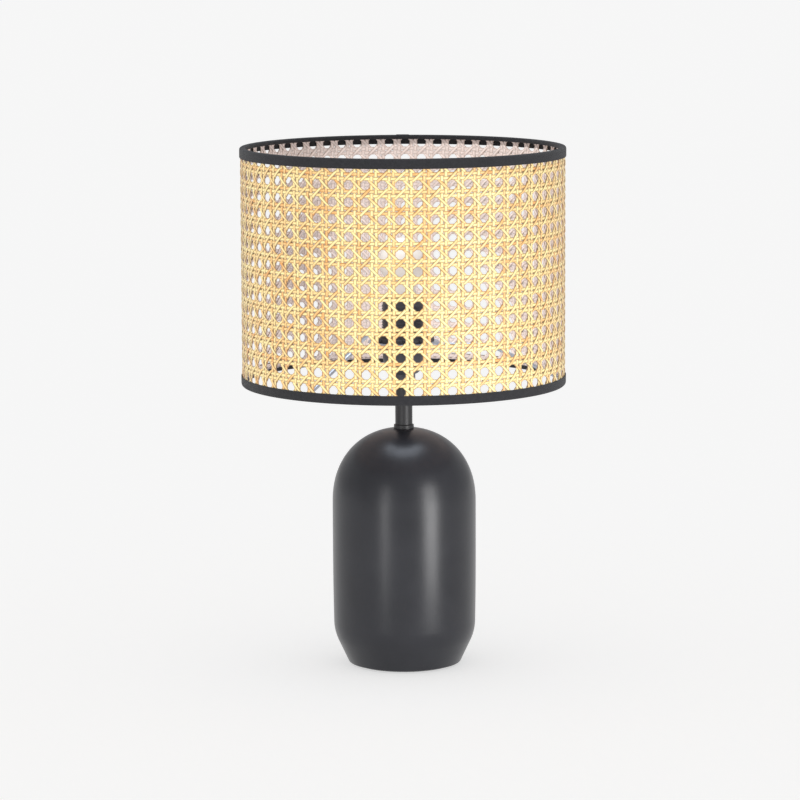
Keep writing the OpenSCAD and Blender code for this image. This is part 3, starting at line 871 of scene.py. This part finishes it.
# Seam strip ----------------------------------------------------------------------------------
# A flat split-cane strip glued inside at the left, over the joint where the rolled webbing
# meets itself.
seam_w = 9.0
seam_r = 148.8
seam_t = 0.6
seam_steps = 40
seam_gap = 0.6
glue_sink = 0.02
seam_low = hoop_low_z + wire_r + seam_gap
seam_high = hoop_high_z - wire_r - seam_gap
half_turn = math.asin(seam_w / 2 / seam_r)
thin_edge = 0.4
shares = (-1.0, -0.93, -0.5, 0.0, 0.5, 0.93, 1.0)
inner_line = [(seam_r - seam_t * (thin_edge if abs(share) == 1 else 1), share * half_turn)
              for share in shares]
outer_line = [(seam_r - glue_sink, share * half_turn) for share in reversed(shares)]
seam = bmesh.new()
corners = [seam.verts.new((-r * math.cos(t) * MM, r * math.sin(t) * MM, seam_low * MM))
           for r, t in inner_line + outer_line]
foot = seam.faces.new(corners)
bmesh.ops.spin(seam, geom=[foot], cent=(0, 0, 0), axis=(0, 0, 1), angle=0.0, steps=seam_steps,
               dvec=(0, 0, (seam_high - seam_low) / seam_steps * MM), use_merge=False, use_duplicate=False)
bmesh.ops.recalc_face_normals(seam, faces=seam.faces[:])
strip = Finish("split_cane_strip", IOR=1.5)
strip_place = strip.stretched(strip.place(), (1.0, 1.0, 0.04))
strip_fibre = strip.noise(strip_place, 900.0, 4.0, 0.6)
strip.feed("Base Color", strip.ramp(strip_fibre, (0.3, (0.52, 0.33, 0.14)), (0.7, (0.74, 0.52, 0.27))))
strip.feed("Roughness", 0.55 + strip_fibre * 0.15)
strip.relief(strip_fibre, 0.0001)
piece("seam_strip", seam, strip, "shade", ["webbing_seam"])

# Rim tapes -----------------------------------------------------------------------------------
# Black cotton twill tape, glued over each rim: a wide leg outside, over the cane's edge and the
# hoop, and a narrow leg inside. Its two ends lap at the back.
tape_out_r = 150.6
tape_in_r = 144.8
tape_out_h = 9.0
tape_in_h = 4.0
twill = Finish("black_twill_tape", Roughness=0.85, Sheen_Weight=0.08, Sheen_Roughness=0.5,
               Specular_IOR_Level=0.3)
twill_x, twill_y, twill_z = twill.parts(twill.place())
rib_pitch = 0.0009
yarn_pitch = 0.00055
around = twill.node("Math", {"operation": "ARCTAN2"}, {0: twill_y, 1: twill_x}) * (tape_out_r * MM)
reach_out = (twill_x * twill_x + twill_y * twill_y) ** 0.5
down = twill_z - reach_out
rib = ((around + down) * (math.tau / rib_pitch)).sine() * 0.5 + 0.5
yarn = (down * (math.tau / yarn_pitch)).sine() * 0.5 + 0.5
lint = twill.noise(twill.place(), 500.0, 4.0, 0.6)
twill.feed("Base Color", twill.ramp(rib * 0.4 + lint * 0.6,
                                    (0.25, (0.010, 0.010, 0.012)), (0.8, (0.031, 0.031, 0.035))))
twill.relief(rib * 0.6 + yarn * 0.3 + lint * 0.3, 0.00018)


tape_fold = [(tape_out_r, 2.0), (tape_out_r - 0.25, 0.9), (tape_out_r - 0.9, 0.2), (tape_out_r - 2.0, 0.0)]
tape_fold += [(tape_in_r + 1.6, 0.0), (tape_in_r + 0.6, 0.3), (tape_in_r + 0.1, 1.0), (tape_in_r, 2.0)]


def tape_outline(rim, inwards):
    """A folded tape's section. inwards is +1 where its legs go up from the rim, -1 where they go down."""
    legs = [(tape_out_r - tape_t, tape_out_h), (tape_out_r - 0.25, tape_out_h)]
    legs += [(tape_out_r, tape_out_h - 0.3)] + tape_fold
    legs += [(tape_in_r, tape_in_h - 0.2), (tape_in_r + 0.2, tape_in_h)]
    legs += [(tape_in_r + tape_t, tape_in_h), (tape_in_r + tape_t, 1.9), (tape_in_r + 1.1, tape_t + 0.2)]
    legs += [(tape_in_r + 1.9, tape_t), (tape_out_r - 2.1, tape_t)]
    legs += [(tape_out_r - 1.2, tape_t + 0.25), (tape_out_r - tape_t, 1.9)]
    return [(r, rim + inwards * h) for r, h in legs]


def lap_outline(rim, inwards):
    """The tape's second end, which lies on the first: a thin skin on its outer face."""
    path = [(tape_out_r, tape_out_h)] + tape_fold + [(tape_in_r, tape_in_h)]
    outer = []
    for number, (r, h) in enumerate(path):
        before = path[max(number - 1, 0)]
        after = path[min(number + 1, len(path) - 1)]
        run = math.hypot(after[0] - before[0], after[1] - before[1])
        outer.append((r - (after[1] - before[1]) / run * lap_t, h + (after[0] - before[0]) / run * lap_t))
    return [(r, rim + inwards * h) for r, h in path + outer[::-1]]


lap_t = 0.4
lap_length = 12.0
lap_turn = lap_length / tape_out_r
to_rear = Matrix.Rotation(math.pi / 2 - lap_turn / 2, 3, "Z")
rims = (("lower_tape", "bottom_trim", shade_z, 1), ("upper_tape", "top_trim", shade_top, -1))
for name, node, rim, inwards in rims:
    tape = piece(name, turned(tape_outline(rim, inwards), 256), twill, "shade", [node])
    lap = bmesh.new()
    corners = [lap.verts.new((r * MM, 0, z * MM)) for r, z in lap_outline(rim, inwards)]
    bmesh.ops.spin(lap, geom=[lap.faces.new(corners)], cent=(0, 0, 0), axis=(0, 0, 1), angle=lap_turn,
                   steps=6, dvec=(0, 0, 0), use_merge=False, use_duplicate=False)
    bmesh.ops.rotate(lap, verts=lap.verts[:], cent=(0, 0, 0), matrix=to_rear)
    bmesh.ops.recalc_face_normals(lap, faces=lap.faces[:])
    lap_piece = piece(name + "_lap", lap, twill, "shade")
